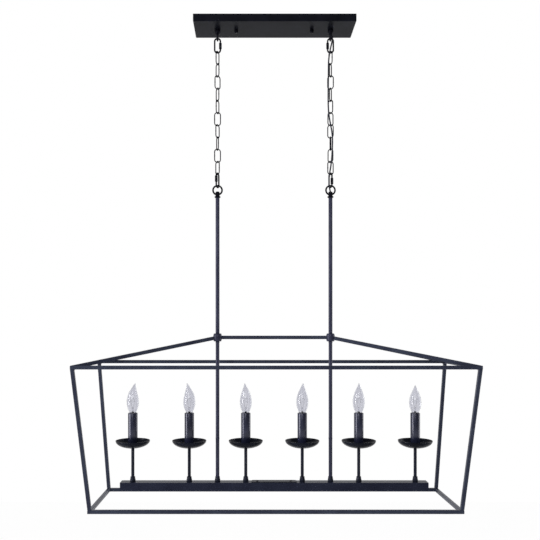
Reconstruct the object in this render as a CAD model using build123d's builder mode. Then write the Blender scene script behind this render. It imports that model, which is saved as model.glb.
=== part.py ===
# Linear island pendant: a shallow ceiling canopy, two chains and an open tapered frame
# of square bar that holds a light bar with six candle lights.
# Sizes are in millimetres. The origin is on the ceiling, in the middle of the canopy,
# with X along the fixture, +Y to the back and +Z up.
# Round pieces are drawn in flats, with their corners on the stated diameter.
import os
from math import cos, pi, radians, sin, tan

from build123d import *

os.makedirs("parts", exist_ok=True)

# ---------------------------------------------------------------- clearances
fit_gap = 0.05  # round a fixed pin, tube or screw
turn_gap = 0.06  # between the corners of a shaft and the flats of the hole that turns round it
hang_gap = 0.2  # between two links that hang on each other
seat_gap = 0.2  # beside the face of a nut that turns

# ---------------------------------------------------------------- flats
tube_flats = 12
pin_flats = 8
bowl_flats = 20
link_wire_flats = 6
wire_flats = 8
bend_turns = 4  # corners in the half turn at each end of a link
ring_turns = 6  # corners in each half of a ring

# ---------------------------------------------------------------- ceiling end
canopy_length = 400
canopy_width = 100
canopy_height = 18
canopy_wall = 1.5
canopy_edge = 1.4

strap_length = 220
strap_width = 24
strap_thickness = 2
strap_corner = 4
box_screw_spacing = 88.9  # the two screws of a ceiling box
slot_width = 5
slot_length = 14

stud_spacing = 190
stud_diameter = 4
stud_end_drop = 7.8  # how far a stud reaches below the canopy
stud_nut_size = 7
stud_nut_height = 3.2
cap_nut_diameter = 10
cap_nut_height = 8.5
cap_nut_ridges = 15
cap_nut_ridge_depth = 0.5

ground_screw_offset = 20
ground_screw_diameter = 4
ground_head_diameter = 8
ground_head_height = 2.4

# ---------------------------------------------------------------- loops
stem_spacing = 284
loop_wire = 4.3
canopy_ring_diameter = 22
canopy_ring_drop = 28.9  # canopy face to the lowest point of the ring
loop_collar_diameter = 14.5
loop_collar_height = 7
loop_cone_height = 5
loop_cone_diameter = 9.6
loop_nipple_diameter = 10
loop_nipple_rise = 5  # above the canopy's floor
loop_bore = 6
loop_mouth = 7.8
loop_mouth_depth = 4
locknut_size = 14
locknut_height = 3

stem_ring_diameter = 27
boss_diameter = 10.6
boss_height = 15.5
boss_below_ring = 3.7  # ring centre to the top of the boss
boss_dome_height = 2.6
boss_dome_diameter = 7.8
boss_mouth = 6.6
bead_diameter = 15.8
bead_height = 4.2
spigot_length = 8

# ---------------------------------------------------------------- chain
link_wire = 2.6
link_width = 17.3
link_pitch = 30.7
quick_wire = 4
quick_width = 18.3
quick_pitch = 31.5
quick_gap = 3  # the opening that the sleeve closes
sleeve_size = 6
sleeve_length = 15

# Turn of each piece about the vertical, from the top: 0 faces the front.
left_link_turns = (63, 122, 33, 119, 65, 0, 58, 110, 10, 129)
right_link_turns = (117, 64, 158, 65, 131, 24, 152, 75, 139, 17)
# Upper and lower quick link: the turn, and the sleeve's middle above the link's middle.
left_quick_links = ((0, -0.8), (246, 3))
right_quick_links = ((180, -0.8), (294, -3))

# ---------------------------------------------------------------- cord
cord_diameter = 3.6
lead_diameter = 3
lead_turn_before = 28.0
lead_turn_aside = 12.0
cord_slack = 0.2
cord_flats = 6
lead_flats = 5
connector_diameter = 8
connector_tip_diameter = 4.5
connector_length = 16
connector_pitch = 9
connector_x = 72
connector_y = 30
conductor_diameter = 1.4
conductor_length = 10
# The cord's corners from the canopy to the top of the right stem: offset from the chain
# along X, offset along Y, height. The first and last runs belong to the fixed ends.
cord_points = (
    (0, 0, -2.2), (0, 0, -26.5), (4.2, -3.6, -37.3), (4.4, -4.9, -45),
    (2.3, -5.6, -55), (-0.4, -5.6, -66), (-2.8, -5, -78), (-4.5, -4.2, -91),
    (-5.4, -3.4, -104), (-5.5, -3.3, -117), (-5.6, -3.7, -130), (-5.9, -4.3, -143),
    (-6.1, -5, -156), (-6.3, -5.3, -169), (-6.4, -5.7, -182), (-6.5, -6, -195),
    (-6.4, -6.3, -208), (-5.8, -6.4, -221), (-4.7, -6.5, -234), (-2.7, -6.5, -247),
    (-0.1, -6.6, -260), (2.3, -6.7, -273), (3.8, -6.9, -286), (4.4, -7.1, -299),
    (4, -7.3, -312), (3.5, -7.7, -325), (2.7, -8, -338), (1.5, -8, -351),
    (-0.2, -7.8, -364), (-2.5, -7.6, -377), (-4.1, -7.2, -389), (-4.7, -6.3, -400),
    (-4.1, -5, -409), (-2.7, -2.9, -417), (-0.7, -0.7, -424), (0, 0, -431),
    (0, 0, -443),
)

# ---------------------------------------------------------------- stems and frame
upper_stem_diameter = 10
upper_stem_length = 340.8
lower_stem_diameter = 9.4
lower_stem_reach = 352.4  # hub to the top of the light bar
stem_wall = 1
hub_diameter = 20
hub_height = 20
hub_seat_depth = 4
hub_edge = 0.8

bar_size = 8.8
bar_edge = 0.9  # chamfer along the bars
top_length = 950
top_width = 300
bottom_length = 885
bottom_width = 235
roof_rise = 67.7
frame_height = 341.2
roof_end_lift = 0.6  # the roof bars' middle above the rails' middle at the corners

# ---------------------------------------------------------------- light bar
light_bar_length = 770
light_bar_width = 30
light_bar_height = 20
light_bar_wall = 1.5
end_cap_thickness = 2
end_cap_plug = 5

cover_length = 114
cover_width = 27
cover_thickness = 1.4
cover_corner = 4
cover_screw_spacing = 84
cover_screw_diameter = 3
cover_head_diameter = 6
cover_head_height = 1.6
cover_screw_length = 6
wiring_slot_length = 62
wiring_slot_width = 16

block_length = 24
block_width = 24
block_height = 9
lead_pitch = 4  # between leads that run side by side in the light bar

# ---------------------------------------------------------------- candle lights
candle_count = 6
candle_pitch = 142
arm_diameter = 8
arm_wall = 1
arm_tail = 6.5  # below the top face of the light bar
coupling_height = 13
coupling_base_diameter = 14
coupling_top_diameter = 11.8
bar_nut_size = 13
bar_nut_height = 3

bowl_diameter = 86
bowl_depth = 19.6
bowl_wall = 1.2
bowl_floor_diameter = 28
bowl_turn_share = 0.8  # of the rim's radius, where the bowl's side turns
bowl_rim_height = 103.6  # above the light bar

candle_diameter = 24
candle_wall = 1.25
candle_rise = 68.9  # above the bowl's rim

socket_diameter = 17
socket_bore = 12.8
socket_depth = 22.5
socket_length = 30
socket_below_candle = 4.5
stalk_diameter = 10

bulb_base_diameter = 12.66
bulb_base_length = 22
bulb_seat = 1  # the glass above the socket
bulb_height = 78
# The glass from its foot: share of the height, diameter.
bulb_shape = ((0, 13), (0.14, 22.6), (0.27, 29.6), (0.4, 31.5), (0.57, 28.4), (0.74, 19.4), (0.917, 6.6))
tip_end_diameter = 2.6
# Each tip leans along X by its own amount; the last bulb ends low and blunt.
tip_leans = (3.2, -3.4, -1.6, 1.4, 1.4, 0)
tip_drops = (0, 0, 0, 0, 0, 5)

# ---------------------------------------------------------------- heights that follow
stem_x = stem_spacing / 2
stem_places = (-stem_x, stem_x)
stud_places = (-stud_spacing / 2, stud_spacing / 2)
candle_places = [(i - (candle_count - 1) / 2) * candle_pitch for i in range(candle_count)]

canopy_floor_z = -canopy_height + canopy_wall
canopy_ring_bottom = -canopy_height - canopy_ring_drop
canopy_ring_z = canopy_ring_bottom + canopy_ring_diameter / 2
hang_z = canopy_ring_bottom + loop_wire
chain_top_z = hang_z - quick_pitch
chain_bottom_z = chain_top_z - len(left_link_turns) * link_pitch
stem_hang_z = chain_bottom_z - quick_pitch
stem_ring_z = stem_hang_z + hang_gap - stem_ring_diameter / 2 + loop_wire
boss_top_z = stem_ring_z - boss_below_ring
stem_top_z = boss_top_z - boss_height
hub_top_z = stem_top_z - upper_stem_length
hub_z = hub_top_z - hub_height / 2
hub_bottom_z = hub_top_z - hub_height
top_frame_z = hub_z - roof_rise
bottom_frame_z = top_frame_z - frame_height
light_bar_top = hub_bottom_z - lower_stem_reach
light_bar_z = light_bar_top - light_bar_height / 2
light_bar_floor = light_bar_top - light_bar_height + light_bar_wall
bowl_rim_z = light_bar_top + bowl_rim_height
bowl_bottom_z = bowl_rim_z - bowl_depth
bowl_floor_z = bowl_bottom_z + bowl_wall
candle_top_z = bowl_rim_z + candle_rise
socket_top_z = candle_top_z - socket_below_candle
bulb_foot_z = socket_top_z + bulb_seat
arm_top_z = bowl_floor_z + 2


def save(name, builder):
    """Label a finished piece and write its STEP file."""
    builder.part.label = name
    export_step(builder.part, f"parts/{name}.step")


def ring(plane, diameter, flats, turn=0):
    """Corners of a regular polygon on a plane; turn is in sides."""
    corners = []
    for i in range(flats):
        angle = 2 * pi * (i + turn) / flats
        corners.append(plane.from_local_coords((diameter / 2 * cos(angle), diameter / 2 * sin(angle), 0)))
    return corners


def frustum(low_ring, high_ring):
    """Solid with flat sides between two rings of corners."""
    faces = [Face(Wire.make_polygon(low_ring)), Face(Wire.make_polygon(high_ring))]
    for i, corner in enumerate(low_ring):
        faces.append(Face(Wire.make_polygon([low_ring[i - 1], corner, high_ring[i], high_ring[i - 1]])))
    return Solid(Shell(faces))


def stack(levels, flats, mode=Mode.ADD):
    """Upright piece in flats from (diameter, height) levels, lowest first."""
    for (low_diameter, low), (high_diameter, high) in zip(levels, levels[1:]):
        if high > low:
            low_ring = ring(Plane.XY.offset(low), low_diameter, flats)
            high_ring = ring(Plane.XY.offset(high), high_diameter, flats)
            add(frustum(low_ring, high_ring), mode=mode)


def turned(outside, inside, flats, places):
    """Copies along X of an upright piece with levels for its outside and its bore."""
    with BuildPart() as one:
        stack(outside, flats)
        stack(inside, flats, mode=Mode.SUBTRACT)
    with BuildPart() as made:
        with Locations(*[(x, 0, 0) for x in places]):
            add(one.part)
    return made


def tube(outer, inner, bottom, top, flats, places):
    """Upright tubes from bottom to top."""
    return turned([(outer, bottom), (outer, top)], [(inner, bottom), (inner, top)], flats, places)


def hex_nut(size, bore, bore_flats, bottom, height, places):
    """Hexagon nuts on the X axis; size is across the flats."""
    with BuildPart() as made:
        with BuildSketch(Plane.XY.offset(bottom)):
            with Locations(*[(x, 0) for x in places]):
                RegularPolygon(size / 2, 6, major_radius=False)
                RegularPolygon(bore / 2, bore_flats, mode=Mode.SUBTRACT)
        extrude(amount=height)
    return made


def wire_loop(wire, width, inner_length, flats, turns, opening=0):
    """An upright loop in the XZ plane about its own middle, with an opening in its +X leg if asked."""
    bend = (width - wire) / 2
    leg = (inner_length + wire) / 2 - bend
    reach = bend / cos(pi / 2 / turns)
    corners = [(bend, opening / 2)]
    for i in range(turns):
        angle = (i + 0.5) * pi / turns
        corners.append((reach * cos(angle), leg + reach * sin(angle)))
    corners.append((-bend, 0))
    with BuildPart() as made:
        with BuildLine(Plane.XZ) as way:
            Polyline(*corners)
        with BuildSketch(Plane(way.line @ 0, x_dir=(0, 1, 0), z_dir=way.line % 0)):
            RegularPolygon(wire / 2, flats, rotation=90)
        sweep(path=way.line, transition=Transition.RIGHT)
        mirror(about=Plane.XY)
    return made


# ---------------------------------------------------------------- ceiling strap
with BuildPart() as crossbar:
    with BuildSketch(Plane.XY.offset(-strap_thickness)):
        strap = Rectangle(strap_length, strap_width)
        chamfer(strap.vertices(), strap_corner)
        with GridLocations(stud_spacing, 0, 2, 1):
            RegularPolygon(stud_diameter / 2 + fit_gap, pin_flats, mode=Mode.SUBTRACT)
        with GridLocations(box_screw_spacing, 0, 2, 1):
            SlotOverall(slot_length, slot_width, mode=Mode.SUBTRACT)
        with Locations((ground_screw_offset, 0)):
            RegularPolygon(ground_screw_diameter / 2 + fit_gap, pin_flats, mode=Mode.SUBTRACT)
    extrude(amount=strap_thickness)
save("crossbar", crossbar)

stud_bottom = -canopy_height - stud_end_drop
canopy_studs = turned([(stud_diameter, stud_bottom), (stud_diameter, -fit_gap)], [], pin_flats, stud_places)
save("canopy_studs", canopy_studs)

stud_nuts = hex_nut(
    stud_nut_size,
    stud_diameter + 2 * fit_gap,
    pin_flats,
    -strap_thickness - stud_nut_height,
    stud_nut_height,
    stud_places,
)
save("stud_nuts", stud_nuts)

ground_screw = turned(
    [
        (ground_head_diameter, -strap_thickness - ground_head_height),
        (ground_head_diameter, -strap_thickness),
        (ground_screw_diameter, -strap_thickness),
        (ground_screw_diameter, -fit_gap),
    ],
    [],
    pin_flats,
    (ground_screw_offset,),
)
save("ground_screw", ground_screw)

# ---------------------------------------------------------------- canopy
with BuildPart() as canopy:
    with BuildSketch(Plane.XY.offset(-canopy_height)):
        Rectangle(canopy_length, canopy_width)
    extrude(amount=canopy_height)
    chamfer(canopy.edges().filter_by(Axis.Z), canopy_edge)
    chamfer(canopy.faces().sort_by(Axis.Z)[0].edges(), canopy_edge)
    with BuildSketch(Plane.XY.offset(canopy_floor_z)):
        hollow = Rectangle(canopy_length - 2 * canopy_wall, canopy_width - 2 * canopy_wall)
        chamfer(hollow.vertices(), canopy_edge)
    extrude(amount=-canopy_floor_z, mode=Mode.SUBTRACT)
    with BuildSketch(Plane.XY.offset(-canopy_height)):
        with GridLocations(stud_spacing, 0, 2, 1):
            RegularPolygon(stud_diameter / 2 + turn_gap, pin_flats)
        with GridLocations(stem_spacing, 0, 2, 1):
            RegularPolygon(loop_nipple_diameter / 2 + fit_gap, tube_flats)
    extrude(amount=canopy_wall, mode=Mode.SUBTRACT)
save("canopy", canopy)

# ---------------------------------------------------------------- knurled cap nuts
knurl = []
for i in range(2 * cap_nut_ridges):
    reach = cap_nut_diameter / 2 - (i % 2) * cap_nut_ridge_depth
    knurl.append((reach * cos(pi * i / cap_nut_ridges), reach * sin(pi * i / cap_nut_ridges)))

cap_nut_top = -canopy_height - seat_gap
for side, x in zip(("left", "right"), stud_places):
    with BuildPart() as cap_nut:
        with BuildSketch(Plane((x, 0, cap_nut_top - cap_nut_height))):
            with BuildLine():
                Polyline(*knurl, close=True)
            make_face()
            RegularPolygon(stud_diameter / 2 + turn_gap, pin_flats, major_radius=False, mode=Mode.SUBTRACT)
        extrude(amount=cap_nut_height)
    save(f"cap_nut_{side}", cap_nut)

# ---------------------------------------------------------------- canopy loops
collar_bottom = -canopy_height - loop_collar_height
cone_bottom = collar_bottom - loop_cone_height
nipple_top = canopy_floor_z + loop_nipple_rise
canopy_ring_inside = canopy_ring_diameter - 2 * loop_wire
canopy_ring = wire_loop(loop_wire, canopy_ring_diameter, canopy_ring_inside, wire_flats, ring_turns)
with BuildPart() as canopy_loop:
    stack(
        [
            (loop_cone_diameter, cone_bottom),
            (loop_collar_diameter, collar_bottom),
            (loop_collar_diameter, -canopy_height),
            (loop_nipple_diameter, -canopy_height),
            (loop_nipple_diameter, nipple_top),
        ],
        tube_flats,
    )
    with Locations(Location((0, 0, canopy_ring_z), (0, 0, 90))):
        add(canopy_ring.part)
    stack(
        [
            (loop_mouth, cone_bottom),
            (loop_bore, cone_bottom + loop_mouth_depth),
            (loop_bore, nipple_top),
        ],
        tube_flats,
        mode=Mode.SUBTRACT,
    )

with BuildPart() as canopy_loops:
    with Locations(*[(x, 0, 0) for x in stem_places]):
        add(canopy_loop.part)
save("canopy_loops", canopy_loops)

loop_locknuts = hex_nut(
    locknut_size, loop_nipple_diameter + 2 * fit_gap, tube_flats, canopy_floor_z, locknut_height, stem_places
)
save("loop_locknuts", loop_locknuts)

# ---------------------------------------------------------------- quick links and chains
quick_inside = quick_pitch + hang_gap
link_inside = link_pitch + hang_gap
quick_link = wire_loop(quick_wire, quick_width, quick_inside, wire_flats, bend_turns, quick_gap)
chain_link = wire_loop(link_wire, link_width, link_inside, link_wire_flats, bend_turns)
quick_leg = (quick_width - quick_wire) / 2

with BuildPart() as link_sleeve:
    with BuildSketch(Plane.XY.offset(-sleeve_length / 2)):
        RegularPolygon(sleeve_size / 2, 6, major_radius=False)
        RegularPolygon(quick_wire / 2 + turn_gap, wire_flats, major_radius=False, mode=Mode.SUBTRACT)
    extrude(amount=sleeve_length)

chains = (
    ("left", -stem_x, left_link_turns, left_quick_links),
    ("right", stem_x, right_link_turns, right_quick_links),
)
for side, x, link_turns, quick_links in chains:
    for level, top, (turn, sleeve_rise) in zip(("top", "bottom"), (hang_z, chain_bottom_z), quick_links):
        middle = top + hang_gap - quick_inside / 2
        with BuildPart() as hung:
            with Locations(Location((x, 0, middle), (0, 0, turn))):
                add(quick_link.part)
        save(f"quick_link_{level}_{side}", hung)
        leg_x = x + quick_leg * cos(radians(turn))
        leg_y = quick_leg * sin(radians(turn))
        with BuildPart() as hung_sleeve:
            with Locations(Location((leg_x, leg_y, middle + sleeve_rise), (0, 0, turn))):
                add(link_sleeve.part)
        save(f"link_sleeve_{level}_{side}", hung_sleeve)
    with BuildPart() as chain:
        for i, turn in enumerate(link_turns):
            middle = chain_top_z - i * link_pitch + hang_gap - link_inside / 2
            with Locations(Location((x, 0, middle), (0, 0, turn))):
                add(chain_link.part)
    save(f"chain_{side}", chain)

# ---------------------------------------------------------------- stem loops
stem_ring_inside = stem_ring_diameter - 2 * loop_wire
stem_ring = wire_loop(loop_wire, stem_ring_diameter, stem_ring_inside, wire_flats, ring_turns)
bead_middle = stem_top_z + bead_height / 2
stem_bore = upper_stem_diameter - 2 * stem_wall
with BuildPart() as stem_loop:
    stack(
        [
            (stem_bore - 2 * fit_gap, stem_top_z - spigot_length),
            (stem_bore - 2 * fit_gap, stem_top_z),
            (boss_diameter, stem_top_z),
            (bead_diameter, bead_middle - bead_height / 6),
            (bead_diameter, bead_middle + bead_height / 6),
            (boss_diameter, stem_top_z + bead_height),
            (boss_diameter, boss_top_z - boss_dome_height),
            (boss_dome_diameter, boss_top_z),
        ],
        tube_flats,
    )
    with Locations((0, 0, stem_ring_z)):
        add(stem_ring.part)
    stack(
        [
            (loop_bore, stem_top_z - spigot_length),
            (loop_bore, boss_top_z - boss_dome_height),
            (boss_mouth, boss_top_z),
        ],
        tube_flats,
        mode=Mode.SUBTRACT,
    )

with BuildPart() as stem_loops:
    with Locations(*[(x, 0, 0) for x in stem_places]):
        add(stem_loop.part)
save("stem_loops", stem_loops)

# ---------------------------------------------------------------- stems and hubs
stem_seat_z = hub_top_z - hub_seat_depth
upper_stems = tube(upper_stem_diameter, stem_bore, stem_seat_z, stem_top_z, tube_flats, stem_places)
save("upper_stems", upper_stems)

lower_bore = lower_stem_diameter - 2 * stem_wall
lower_top_z = hub_bottom_z + hub_seat_depth
lower_end_z = light_bar_top - arm_tail
lower_stems = tube(lower_stem_diameter, lower_bore, lower_end_z, lower_top_z, tube_flats, stem_places)
save("lower_stems", lower_stems)

hubs = turned(
    [
        (hub_diameter - 2 * hub_edge, hub_bottom_z),
        (hub_diameter, hub_bottom_z + hub_edge),
        (hub_diameter, hub_top_z - hub_edge),
        (hub_diameter - 2 * hub_edge, hub_top_z),
    ],
    [
        (lower_stem_diameter + 2 * fit_gap, hub_bottom_z),
        (lower_stem_diameter + 2 * fit_gap, lower_top_z),
        (lower_bore, lower_top_z),
        (lower_bore, stem_seat_z),
        (upper_stem_diameter + 2 * fit_gap, stem_seat_z),
        (upper_stem_diameter + 2 * fit_gap, hub_top_z),
    ],
    tube_flats,
    stem_places,
)
save("hubs", hubs)


def bar_section():
    """The square bar's section with its edges broken, drawn in the current sketch."""
    square = Rectangle(bar_size, bar_size)
    chamfer(square.vertices(), bar_edge)


# ---------------------------------------------------------------- ridge and roof bars
with BuildPart() as ridge_tube:
    with BuildSketch(Plane((-stem_x, 0, hub_z), x_dir=(0, 1, 0), z_dir=(1, 0, 0))):
        bar_section()
    extrude(amount=stem_spacing)
    with BuildSketch(Plane.XY.offset(hub_bottom_z)):
        with GridLocations(stem_spacing, 0, 2, 1):
            RegularPolygon(hub_diameter / 2, tube_flats)
    extrude(amount=hub_height, mode=Mode.SUBTRACT)
save("ridge_tube", ridge_tube)

corner_x = top_length / 2 - bar_size / 2
corner_y = top_width / 2 - bar_size / 2
corners = {"front_left": (-1, -1), "front_right": (1, -1), "rear_left": (-1, 1), "rear_right": (1, 1)}
for corner, (sx, sy) in corners.items():
    start = Vector(sx * stem_x, 0, hub_z)
    end = Vector(sx * corner_x, sy * corner_y, top_frame_z + roof_end_lift)
    run = end - start
    with BuildPart() as roof_bar:
        with BuildSketch(Plane(start, x_dir=(-run.Y, run.X, 0), z_dir=run)):
            bar_section()
        extrude(amount=run.length)
        with BuildSketch(Plane.XY.offset(hub_bottom_z - hub_height)):
            with Locations((sx * stem_x, 0)):
                RegularPolygon(hub_diameter / 2, tube_flats)
            with Locations((sx * stem_x, -sy * hub_diameter)):
                Rectangle(4 * hub_diameter, 2 * hub_diameter)
        extrude(amount=3 * hub_height, mode=Mode.SUBTRACT)
        with Locations((sx * corner_x, 0, top_frame_z)):
            Box(bar_size, top_width, bar_size, mode=Mode.SUBTRACT)
        with Locations((0, sy * corner_y, top_frame_z)):
            Box(top_length, bar_size, bar_size, mode=Mode.SUBTRACT)
    save(f"roof_bar_{corner}", roof_bar)


# ---------------------------------------------------------------- frame rails, mitred at 45 degrees
def rail(length, middle, turn):
    """A rail along its own X with its outer side at +Y and its ends mitred to the inner side."""
    half = length / 2
    with BuildPart() as made:
        with BuildSketch(Plane((-half, 0, 0), x_dir=(0, 1, 0), z_dir=(1, 0, 0))):
            bar_section()
        extrude(amount=length)
        for end in (-1, 1):
            mitre = Plane((end * (half - bar_size / 2), 0, 0), x_dir=(0, 0, 1), z_dir=(-end, 1, 0))
            split(bisect_by=mitre, keep=Keep.TOP)
    with BuildPart() as placed:
        with Locations(Location(middle, (0, 0, turn))):
            add(made.part)
    return placed


frames = (
    ("top", top_length, top_width, top_frame_z),
    ("bottom", bottom_length, bottom_width, bottom_frame_z),
)
for level, length, width, z in frames:
    end_x = length / 2 - bar_size / 2
    side_y = width / 2 - bar_size / 2
    save(f"{level}_rail_rear", rail(length, (0, side_y, z), 0))
    save(f"{level}_rail_front", rail(length, (0, -side_y, z), 180))
    save(f"{level}_rail_left", rail(width, (-end_x, 0, z), 90))
    save(f"{level}_rail_right", rail(width, (end_x, 0, z), -90))

# ---------------------------------------------------------------- tapered legs
foot_x = bottom_length / 2 - bar_size / 2
foot_y = bottom_width / 2 - bar_size / 2
for corner, (sx, sy) in corners.items():
    with BuildPart() as leg:
        with BuildSketch(Plane((sx * corner_x, sy * corner_y, top_frame_z - bar_size / 2))):
            bar_section()
        with BuildSketch(Plane((sx * foot_x, sy * foot_y, bottom_frame_z + bar_size / 2))):
            bar_section()
        loft(ruled=True)
    save(f"leg_{corner}", leg)

# ---------------------------------------------------------------- light bar
bar_tube_length = light_bar_length - 2 * end_cap_thickness
bore_width = light_bar_width - 2 * light_bar_wall
bore_height = light_bar_height - 2 * light_bar_wall
with BuildPart() as light_bar:
    with BuildSketch(Plane((-bar_tube_length / 2, 0, light_bar_z), x_dir=(0, 1, 0), z_dir=(1, 0, 0))):
        Rectangle(light_bar_width, light_bar_height)
        Rectangle(bore_width, bore_height, mode=Mode.SUBTRACT)
    extrude(amount=bar_tube_length)
    with BuildSketch(Plane.XY.offset(light_bar_top - light_bar_wall)):
        with Locations(*[(x, 0) for x in candle_places]):
            RegularPolygon(arm_diameter / 2 + fit_gap, pin_flats)
        with Locations(*[(x, 0) for x in stem_places]):
            RegularPolygon(lower_stem_diameter / 2 + fit_gap, tube_flats)
        with GridLocations(cover_screw_spacing, 0, 2, 1):
            RegularPolygon(cover_screw_diameter / 2 + fit_gap, pin_flats)
        Rectangle(wiring_slot_length, wiring_slot_width)
    extrude(amount=light_bar_wall, mode=Mode.SUBTRACT)
save("light_bar", light_bar)

with BuildPart() as bar_end_caps:
    for end in (-1, 1):
        tube_end = Plane((end * bar_tube_length / 2, 0, light_bar_z), (0, 1, 0), (end, 0, 0))
        with BuildSketch(tube_end):
            Rectangle(light_bar_width, light_bar_height)
        extrude(amount=end_cap_thickness)
        with BuildSketch(tube_end):
            Rectangle(bore_width - 2 * fit_gap, bore_height - 2 * fit_gap)
        extrude(amount=-end_cap_plug)
save("bar_end_caps", bar_end_caps)

cover_top = light_bar_top + cover_thickness
with BuildPart() as wiring_cover:
    with BuildSketch(Plane.XY.offset(light_bar_top)):
        cover = Rectangle(cover_length, cover_width)
        chamfer(cover.vertices(), cover_corner)
        with GridLocations(cover_screw_spacing, 0, 2, 1):
            RegularPolygon(cover_screw_diameter / 2 + fit_gap, pin_flats, mode=Mode.SUBTRACT)
    extrude(amount=cover_thickness)
    chamfer(wiring_cover.faces().sort_by(Axis.Z)[-1].outer_wire().edges(), cover_thickness / 2)
save("wiring_cover", wiring_cover)

cover_screws = turned(
    [
        (cover_screw_diameter, cover_top - cover_screw_length),
        (cover_screw_diameter, cover_top),
        (cover_head_diameter, cover_top),
        (cover_head_diameter, cover_top + cover_head_height / 3),
        (cover_head_diameter / 2, cover_top + cover_head_height),
    ],
    [],
    pin_flats,
    (-cover_screw_spacing / 2, cover_screw_spacing / 2),
)
save("cover_screws", cover_screws)


# ---------------------------------------------------------------- couplings and arms
def coupling(bore, flats, places):
    """Tapered couplings that stand on the light bar round a tube."""
    top = light_bar_top + coupling_height
    outside = [(coupling_base_diameter, light_bar_top), (coupling_top_diameter, top)]
    return turned(outside, [(bore, light_bar_top), (bore, top)], flats, places)


arm_hole = arm_diameter + 2 * fit_gap
stem_hole = lower_stem_diameter + 2 * fit_gap
with BuildPart() as couplings:
    add(coupling(arm_hole, pin_flats, candle_places).part)
    add(coupling(stem_hole, tube_flats, stem_places).part)
save("couplings", couplings)

bar_nut_bottom = light_bar_top - light_bar_wall - bar_nut_height
with BuildPart() as bar_nuts:
    add(hex_nut(bar_nut_size, arm_hole, pin_flats, bar_nut_bottom, bar_nut_height, candle_places).part)
    add(hex_nut(bar_nut_size, stem_hole, tube_flats, bar_nut_bottom, bar_nut_height, stem_places).part)
save("bar_nuts", bar_nuts)

arm_bore = arm_diameter - 2 * arm_wall
candle_arms = tube(arm_diameter, arm_bore, light_bar_top - arm_tail, arm_top_z, pin_flats, candle_places)
save("candle_arms", candle_arms)

# ---------------------------------------------------------------- drip bowls and candles
turn_drop = (1 - bowl_turn_share**2) ** 0.5  # a half ellipse from the floor to the rim
with BuildPart() as bobeche:
    stack(
        [
            (bowl_floor_diameter, bowl_bottom_z),
            (bowl_turn_share * bowl_diameter, bowl_rim_z - turn_drop * bowl_depth),
            (bowl_diameter, bowl_rim_z),
        ],
        bowl_flats,
    )
    stack(
        [
            (bowl_floor_diameter, bowl_floor_z),
            (
                bowl_turn_share * bowl_diameter - 2 * bowl_wall,
                bowl_rim_z + bowl_wall - turn_drop * bowl_depth,
            ),
            (bowl_diameter - 2 * bowl_wall, bowl_rim_z),
        ],
        bowl_flats,
        mode=Mode.SUBTRACT,
    )
    stack([(arm_hole, bowl_bottom_z), (arm_hole, bowl_floor_z)], pin_flats, mode=Mode.SUBTRACT)

with BuildPart() as bobeches:
    with Locations(*[(x, 0, 0) for x in candle_places]):
        add(bobeche.part)
save("bobeches", bobeches)

candle_bore = candle_diameter - 2 * candle_wall
candle_sleeves = tube(candle_diameter, candle_bore, bowl_floor_z, candle_top_z, tube_flats, candle_places)
save("candle_sleeves", candle_sleeves)

sockets = turned(
    [
        (stalk_diameter, arm_top_z),
        (stalk_diameter, socket_top_z - socket_length),
        (socket_diameter, socket_top_z - socket_length),
        (socket_diameter, socket_top_z),
    ],
    [(socket_bore, socket_top_z - socket_depth), (socket_bore, socket_top_z)],
    tube_flats,
    candle_places,
)
save("sockets", sockets)

# ---------------------------------------------------------------- bulbs
for number, (x, lean, drop) in enumerate(zip(candle_places, tip_leans, tip_drops), start=1):
    height = bulb_height - drop
    glass = [(diameter, bulb_foot_z + share * height) for share, diameter in bulb_shape]
    with BuildPart() as one_bulb:
        base_ends = (bulb_foot_z - bulb_base_length, bulb_foot_z)
        stack([(bulb_base_diameter, z) for z in base_ends], tube_flats)
        stack(glass, tube_flats)
        tip_root = ring(Plane((0, 0, glass[-1][1])), glass[-1][0], tube_flats)
        tip_end = ring(Plane((lean, 0, bulb_foot_z + height)), tip_end_diameter, tube_flats)
        add(frustum(tip_root, tip_end))
    with BuildPart() as bulb:
        with Locations((x, 0, 0)):
            add(one_bulb.part)
    save(f"bulb_{number}", bulb)


# ---------------------------------------------------------------- wiring
def bend_radii(points):
    """Radius at each inner corner: the largest that leaves a tenth of the shorter run straight."""
    radii = []
    for before, corner, after in zip(points, points[1:], points[2:]):
        run_in = Vector(*corner) - Vector(*before)
        run_out = Vector(*after) - Vector(*corner)
        half_turn = radians(run_in.get_angle(run_out)) / 2
        radii.append(0.45 * min(run_in.length, run_out.length) / tan(half_turn))
    return radii


def cord(points, radii, diameter, flats):
    """A cord along the points with a rounded corner at each inner one."""
    with BuildPart() as made:
        with BuildLine() as way:
            if radii:
                FilletPolyline(*points, radius=radii)
            else:
                Line(*points)
        with BuildSketch(Plane(way.line @ 0, z_dir=way.line % 0)):
            RegularPolygon(diameter / 2, flats)
        sweep(path=way.line)
    return made


def middle_of(first, second):
    """The point halfway between two points."""
    return tuple((a + b) / 2 for a, b in zip(first, second))


# The cord runs from the connectors in the canopy, out of the right loop, down the chain and
# into the right stem. It is cut in three where it leaves the loop and where it enters the stem.
connector_z = canopy_floor_z + fit_gap + connector_diameter / 2
cord_in = (connector_x + conductor_length, connector_y, connector_z)
hanging = [(stem_x + dx, dy, z) for dx, dy, z in cord_points]
lead_turn = (stem_x - lead_turn_before, lead_turn_aside, hanging[0][2] - cord_slack)
whole_cord = [cord_in, lead_turn] + hanging
cord_radii = bend_radii(whole_cord)
print("cord radii", [round(radius, 1) for radius in cord_radii])
first_cut = middle_of(whole_cord[3], whole_cord[4])
last_cut = middle_of(whole_cord[-2], whole_cord[-1])

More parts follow.
